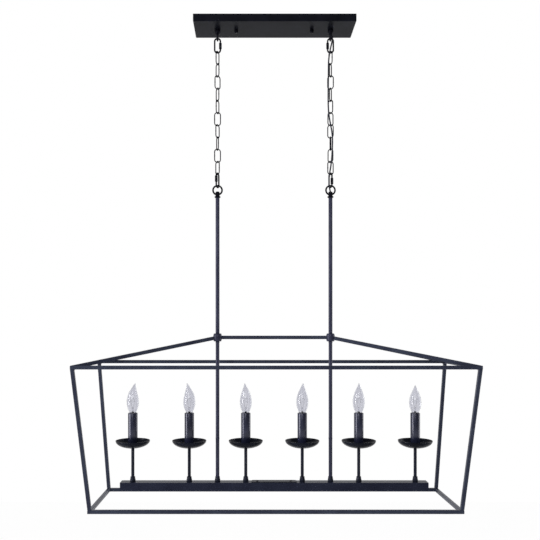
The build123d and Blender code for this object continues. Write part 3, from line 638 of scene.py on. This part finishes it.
# small gussets where the legs meet the top rails
weldLook = {
    "size": 5.5, "thick": 7.6, "sunk": 0.6, "steps": 5,
    "corner": (466.2, 145.6, -863.7), "barHalf": 4.4,
    "slope": (32.5, 332.4),  # how far a leg runs inwards and down
}


def plate(name, outline, push):  # a flat outline pushed out to a plate
    deselectAll()
    bpy.ops.mesh.primitive_plane_add(size=mm)
    piece = nameIt(name)
    bpy.ops.object.mode_set(mode="EDIT")
    bpy.ops.mesh.select_mode(type="VERT")
    bpy.ops.mesh.select_all(action="SELECT")
    bpy.ops.mesh.merge(type="CENTER")
    bpy.ops.transform.translate(value=outline[0] * mm)
    for before, after in zip(outline, outline[1:]):
        bpy.ops.mesh.extrude_vertices_move(TRANSFORM_OT_translate={"value": (after - before) * mm})
    bpy.ops.mesh.select_all(action="SELECT")
    bpy.ops.mesh.edge_face_add()
    bpy.ops.mesh.extrude_region_move(TRANSFORM_OT_translate={"value": push * mm})
    return cleanUp(piece, 40)


def weldOutline(corner, along, across, down):  # a corner filled up to a hollow quarter circle
    root = corner - (along + down) * weldLook["sunk"] - across * weldLook["thick"] / 2
    outline = [root]
    for i in range(weldLook["steps"] + 1):
        turn = pi / 2 * i / weldLook["steps"]
        curve = along * (1 - sin(turn)) + down * (1 - cos(turn))
        outline.append(root + (weldLook["size"] + weldLook["sunk"]) * curve)
    return outline


welds = []
cx, cy, cz = weldLook["corner"]
inwards, drop = weldLook["slope"]
half = weldLook["barHalf"]
for sx in (-1, 1):
    for sy in (-1, 1):
        down = Vector((-sx * inwards, -sy * inwards, -drop)).normalized()
        for corner, along, across in (
                (Vector((sx * cx, sy * cy, cz)), Vector((-sx, 0, 0)), Vector((0, 1, 0))),
                (Vector((sx * (cx + half), sy * (cy - half), cz)), Vector((0, -sy, 0)), Vector((1, 0, 0)))):
            outline = weldOutline(corner, along, across, down)
            welds.append(plate("weld", outline, across * weldLook["thick"]))
welds = joinAll("cornerWelds", welds)
dress(welds, tubePaint, "cage", "black_metal")

candlePitch = 142
candleXs = [candlePitch * (i - 2.5) for i in range(6)]
candlePlaces = [(x, 0, 0) for x in candleXs]
couplingLook = {
    "bottom": -1154, "armHole": 4.05, "stemHole": 4.75, "sides": 36, "soft": 0.35,
    "outside": ((7, 0), (6.95, 5.5), (6.5, 7.5), (6.1, 8.2), (5.9, 13)),  # radius, height above the bottom
}


def coupling(name, hole, places):
    bottom = couplingLook["bottom"]
    outside = [(r, bottom + up) for r, up in couplingLook["outside"]]
    profile = outside + [(hole, outside[-1][1]), (hole, bottom)]
    return copyAlong(turnProfile(name, profile, couplingLook["sides"], soft=couplingLook["soft"]), name, places)


couplings = joinAll("couplings", [
    coupling("armCouplings", couplingLook["armHole"], candlePlaces),
    coupling("stemCouplings", couplingLook["stemHole"], stemPlaces)])
dress(couplings, smallPaint, "cage", "black_metal", "couplings")
print("stems made")

armLook = {"profile": [(4, -1160.5), (4, -1066.8), (3, -1066.8), (3, -1160.5)], "sides": 32, "soft": 0.2}
arms = copyAlong(turnProfile("arm", **armLook), "candleArms", candlePlaces)
dress(arms, smallPaint, "cage", "black_metal", "candle_arms")

bowlLook = {
    "rim": 43, "rimZ": -1050.4, "depth": 19.6, "wall": 1.2, "hole": 4.05,
    "steps": 12, "sides": 72, "soft": 0.3, "angle": 30,
}


def bowlCurve(inset):  # a quarter of an oval from the rim down to the hole
    reach, depth = bowlLook["rim"] - inset, bowlLook["depth"] - inset
    points = []
    for i in range(bowlLook["steps"] + 1):
        angle = pi / 2 * i / bowlLook["steps"]
        if reach * cos(angle) > bowlLook["hole"]:
            points.append((reach * cos(angle), bowlLook["rimZ"] - depth * sin(angle)))
    return points + [(bowlLook["hole"], bowlLook["rimZ"] - depth)]


bowl = turnProfile(
    "bowl", bowlCurve(0) + bowlCurve(bowlLook["wall"])[::-1], bowlLook["sides"],
    soft=bowlLook["soft"], angle=bowlLook["angle"])
bowls = copyAlong(bowl, "dripBowls", candlePlaces)
dress(bowls, bowlPaint, "cage", "black_metal", "bobeches")

candleLook = {
    "profile": [(12, -981.5), (12, -1068.8), (10.75, -1068.8), (10.75, -981.5)], "sides": 48, "soft": 0.4,
}
candles = copyAlong(turnProfile("candle", **candleLook), "candleSleeves", candlePlaces)
dress(candles, sleevePlastic, "cage", "candle_cover", "candle_sleeves")

socketLook = {
    "profile": [
        (0, -1066.8), (5, -1066.8), (5, -1030), (6.5, -1016), (8.5, -1016), (8.5, -986), (6.45, -986),
        (6.45, -1008.4), (0, -1008.4)],
    "sides": 36, "ring": False, "soft": 0.3,
}
sockets = copyAlong(turnProfile("socket", **socketLook), "lampSockets", candlePlaces)
dress(sockets, phenolic, "cage", "socket_body", "sockets")
print("candles made")

# heights in a bulb are counted from the foot of its glass
bulbLook = {
    "foot": -985, "height": 78, "wall": 0.7, "sides": 40,
    "shape": (  # share of the height, radius
        (0, 6.5), (0.05, 8.1), (0.14, 11.3), (0.27, 14.8), (0.4, 15.75), (0.57, 14.2), (0.74, 9.7), (0.86, 5.2),
        (0.917, 3.3), (0.965, 1.9), (0.99, 1.1)),
    "leans": (6, -5.6, -2.6, 2.2, 0.8, 0),  # how far each tip is drawn to one side
    "drops": (0, 0, 0, 0, 0, 5),  # how much shorter each bulb is
    "leanFrom": 0.62, "leanCurve": 1.6,
}
pressLook = {
    "profile": [(0, 0.4), (5.2, 0.4), (4.2, 3), (2.6, 7), (1.9, 12), (2.3, 15), (1.6, 17), (0, 17.6)],
    "sides": 24, "ring": False, "angle": 60,
}
filamentLook = {
    "leadPath": ((1.2, 14), (2.2, 20), (4.4, 30), (4.6, 38)),  # distance from the middle, height
    "leadRadius": 0.22, "leadAround": 1,
    "wire": 0.11, "wireAround": 0, "coil": 0.42, "turns": 24, "steps": 120,
    "halfWidth": 4.6, "height": 38, "bow": 3.2,
}
baseLook = {
    "contact": [(0, -22), (2.4, -21.9), (2.9, -21.2), (3.4, -20.6), (5.4, -19.3)],
    "collar": [(6.3, -2), (6.3, 0.6), (5.6, 1.2), (0, 1.2)],
    "shell": 5.9, "shellFoot": -19, "shellHeight": 16.4, "rows": 28, "sides": 36,
    "threadPitch": 2.54, "threadDepth": 0.42, "threaded": (-18.6, -2.8), "threadInside": 5,
}


def bulbGlass(name, lean, height):
    profile = [(r, share * height) for share, r in bulbLook["shape"]] + [(0, height)]
    glass = turnProfile(name, profile, bulbLook["sides"], ring=False, angle=None)
    wall = glass.modifiers.new("glassWall", "SOLIDIFY")
    wall.thickness = bulbLook["wall"] * mm
    wall.offset = -1
    smooth = glass.modifiers.new("smooth", "SUBSURF")
    smooth.levels = smooth.render_levels = 1
    makeActive(glass)
    bpy.ops.object.modifier_apply(modifier=wall.name)
    bpy.ops.object.modifier_apply(modifier=smooth.name)
    bpy.ops.object.shade_smooth()
    for vertex in glass.data.vertices:  # the flame's tip is drawn over to one side
        above = max(0, vertex.co.z / (height * mm) - bulbLook["leanFrom"])
        share = above / (1 - bulbLook["leanFrom"])
        vertex.co.x += lean * mm * share ** bulbLook["leanCurve"]
    return glass


def bulbWires(name):
    look = filamentLook
    wires = []
    for side in (-1, 1):
        path = [(side * reach, 0, up) for reach, up in look["leadPath"]]
        wires.append(wireTube("leadWire", inMetres(path), look["leadRadius"], look["leadAround"]))
    coil = []
    for i in range(look["steps"] + 1):
        share = i / look["steps"]
        turn = share * 2 * pi * look["turns"]
        across = look["halfWidth"] * (2 * share - 1)
        middle = look["height"] + look["bow"] * sin(share * pi)
        coil.append((across, look["coil"] * cos(turn), middle + look["coil"] * sin(turn)))
    wires.append(wireTube("filament", inMetres(coil), look["wire"], look["wireAround"]))
    return joinAll(name, wires)


def bulbBase(name):
    look = baseLook
    rise = look["shellHeight"] / look["rows"]
    shell = [(look["shell"], look["shellFoot"] + i * rise) for i in range(look["rows"] + 1)]
    base = turnProfile(name, look["contact"] + shell + look["collar"], look["sides"], ring=False, angle=None)
    lowest, highest = look["threaded"]
    for vertex in base.data.vertices:  # a thread winds round the shell
        place = vertex.co
        if lowest * mm < place.z < highest * mm and place.xy.length > look["threadInside"] * mm:
            turn = Vector((1, 0)).angle_signed(place.xy.normalized())
            wave = 0.5 + 0.5 * cos(2 * pi * place.z / (look["threadPitch"] * mm) + turn)
            place.xy *= 1 + (wave * look["threadDepth"] * mm) / place.xy.length
    return cleanUp(base, 50)


for number, (x, lean, drop) in enumerate(zip(candleXs, bulbLook["leans"], bulbLook["drops"]), start=1):
    glass = bulbGlass(f"bulbGlass{number}", lean, bulbLook["height"] - drop)
    press = turnProfile(f"bulbPress{number}", **pressLook)
    wires = bulbWires(f"bulbWires{number}")
    base = bulbBase(f"bulbBase{number}")
    for piece in (glass, press, wires, base):
        piece.data.transform(Matrix.Translation((x * mm, 0, bulbLook["foot"] * mm)))
    dress(glass, blownGlass, f"light_{number}", "bulb_glass", f"bulb_{number}")
    dress(press, blownGlass, f"light_{number}", "bulb_glass")
    dress(wires, tungsten, f"light_{number}", "bulb_glass")
    dress(base, nickelPlate, f"light_{number}", "bulb_glass")
print("bulbs made")

capNut = {
    "profile": [
        (2.1, -18.2), (4.6, -18.2), (4.6, -18.8), (4.95, -19.2), (4.95, -25.1), (4.5, -26), (3.9, -26.7), (2.1, -26.7)],
    "places": {"left": -95, "right": 95},
    "ridges": 18, "ridgeSteps": 4, "ridgeDepth": 0.06, "ridgeInside": 4.8,  # depth as a share of the radius
}
nut = turnProfile("capNut", capNut["profile"], capNut["ridgeSteps"] * capNut["ridges"], angle=None)
for vertex in nut.data.vertices:  # knurled waist
    place = vertex.co
    if place.xy.length > capNut["ridgeInside"] * mm:
        turn = Vector((1, 0)).angle_signed(place.xy.normalized())
        place.xy *= 1 - capNut["ridgeDepth"] * (0.5 - 0.5 * cos(turn * capNut["ridges"]))
cleanUp(nut, 50)
for side, x in capNut["places"].items():
    placed = copyTo(nut, side + "CapNut", Matrix.Translation((x * mm, 0, 0)))
    dress(placed, wirePaint, side + "_cap_nut", "black_metal", "cap_nut_" + side)
bpy.data.objects.remove(nut)


def blockAt(name, size, z):
    deselectAll()
    bpy.ops.mesh.primitive_cube_add(size=1, location=(0, 0, z * mm), scale=[side * mm for side in size])
    block = nameIt(name)
    bpy.ops.object.transform_apply(location=True, rotation=True, scale=True)
    return block


screwLook = {
    "profile": [
        (0, -1158.6), (1.5, -1158.6), (1.5, -1152.6), (3, -1152.6), (3, -1152.1), (2.4, -1151.4), (1.2, -1151),
        (0, -1151)],
    "sides": 28, "angle": 30, "slot": (8, 0.7, 1), "top": -1151, "places": [(-42, 0, 0), (42, 0, 0)],
}
screw = turnProfile("coverScrew", screwLook["profile"], screwLook["sides"], ring=False, angle=screwLook["angle"])
slotBlock = blockAt("slotBlock", screwLook["slot"], screwLook["top"])
cut = screw.modifiers.new("slot", "BOOLEAN")
cut.object = slotBlock
cut.solver = "EXACT"
makeActive(screw)
bpy.ops.object.modifier_apply(modifier=cut.name)
bpy.data.objects.remove(slotBlock)
cleanUp(screw, screwLook["angle"])
screws = copyAlong(screw, "coverScrews", screwLook["places"])
dress(screws, oxideBlack, "cage", "black_metal", "cover_screws")

wiringLook = {
    "height": -1167.95,
    "block": (24, 24, 9), "blockSoft": 1, "blockSegments": 3,
    "lead": 1.5, "leadAround": 3, "leadPitch": 4,  # leads lie side by side in the bar
    "leadBends": (47, 11),  # how far before its candle a lead starts to turn in, and ends it
    "leadRise": (11, -1120, -1066.8),  # how far up it stays in the bar, then two heights in the arm
    "trunk": 1.8, "trunkAround": 4, "trunkStart": (-437, -700, -1155), "trunkSide": 8, "trunkBends": (12, 60),
}
height = wiringLook["height"]
block = blockAt("wiringBlock", wiringLook["block"], height)
softenEdges(block, wiringLook["blockSoft"], wiringLook["blockSegments"])
cleanUp(block)
dress(block, phenolic, "cage", "cord_jacket")

leads = []
blockEdge = wiringLook["block"][0] / 2
farBend, nearBend = wiringLook["leadBends"]
rise, armMiddle, armTop = wiringLook["leadRise"]
for x in candleXs:
    side = 1 if x > 0 else -1
    rank = round(abs(x) / candlePitch - 0.5)
    y = -rank * wiringLook["leadPitch"]
    route = [(side * blockEdge, y, height)]
    if rank:  # the inner leads run straight to their candles
        route.append((side * (abs(x) - farBend), y, height))
    route += [(x - side * nearBend, y / 4, height), (x, 0, height)]
    route += [(x, 0, height + rise), (x, 0, armMiddle), (x, 0, armTop)]
    places = routePoints("leadRoute", inMetres(route))
    leads.append(wireTube("lead", places, wiringLook["lead"], wiringLook["leadAround"]))
bendX, runX = wiringLook["trunkBends"]
y = wiringLook["trunkSide"]
route = [(stemX, 0, z) for z in wiringLook["trunkStart"]] + [
    (stemX, 1, height), (stemX - bendX, y, height), (runX, y, height), (blockEdge, y, height)]
places = routePoints("trunkRoute", inMetres(route))
leads.append(wireTube("trunk", places, wiringLook["trunk"], wiringLook["trunkAround"]))
leads = joinAll("barWiring", leads)
dress(leads, jacketVinyl, "cage", "cord_jacket", "bar_wiring")
print("hardware made")

bars = [name for name in nodes if name.startswith(("roof_bar_", "leg_", "top_rail_", "bottom_rail_"))]
kept = (  # CAD pieces that keep their shape
    (lightBarPaint, ["light_bar", "bar_end_caps"]),
    (coverPaint, ["wiring_cover"]),
    (canopyPaint, ["canopy"]),
    (barPaint, ["ridge_tube"] + bars),
    (wirePaint, [name for name in nodes if name.startswith("link_sleeve_")]),
    (zincPlate, ["crossbar", "canopy_studs", "stud_nuts", "loop_locknuts", "bar_nuts"]),
    (turnedBrass, ["ground_screw"]),
    (nylon, ["wire_connectors"]),
)
for material, names in kept:
    for name in names:
        if not nodes[name].material_slots:
            nodes[name].data.materials.append(material)
        for slot in nodes[name].material_slots:
            slot.material = material
print("finishes given to the kept pieces")
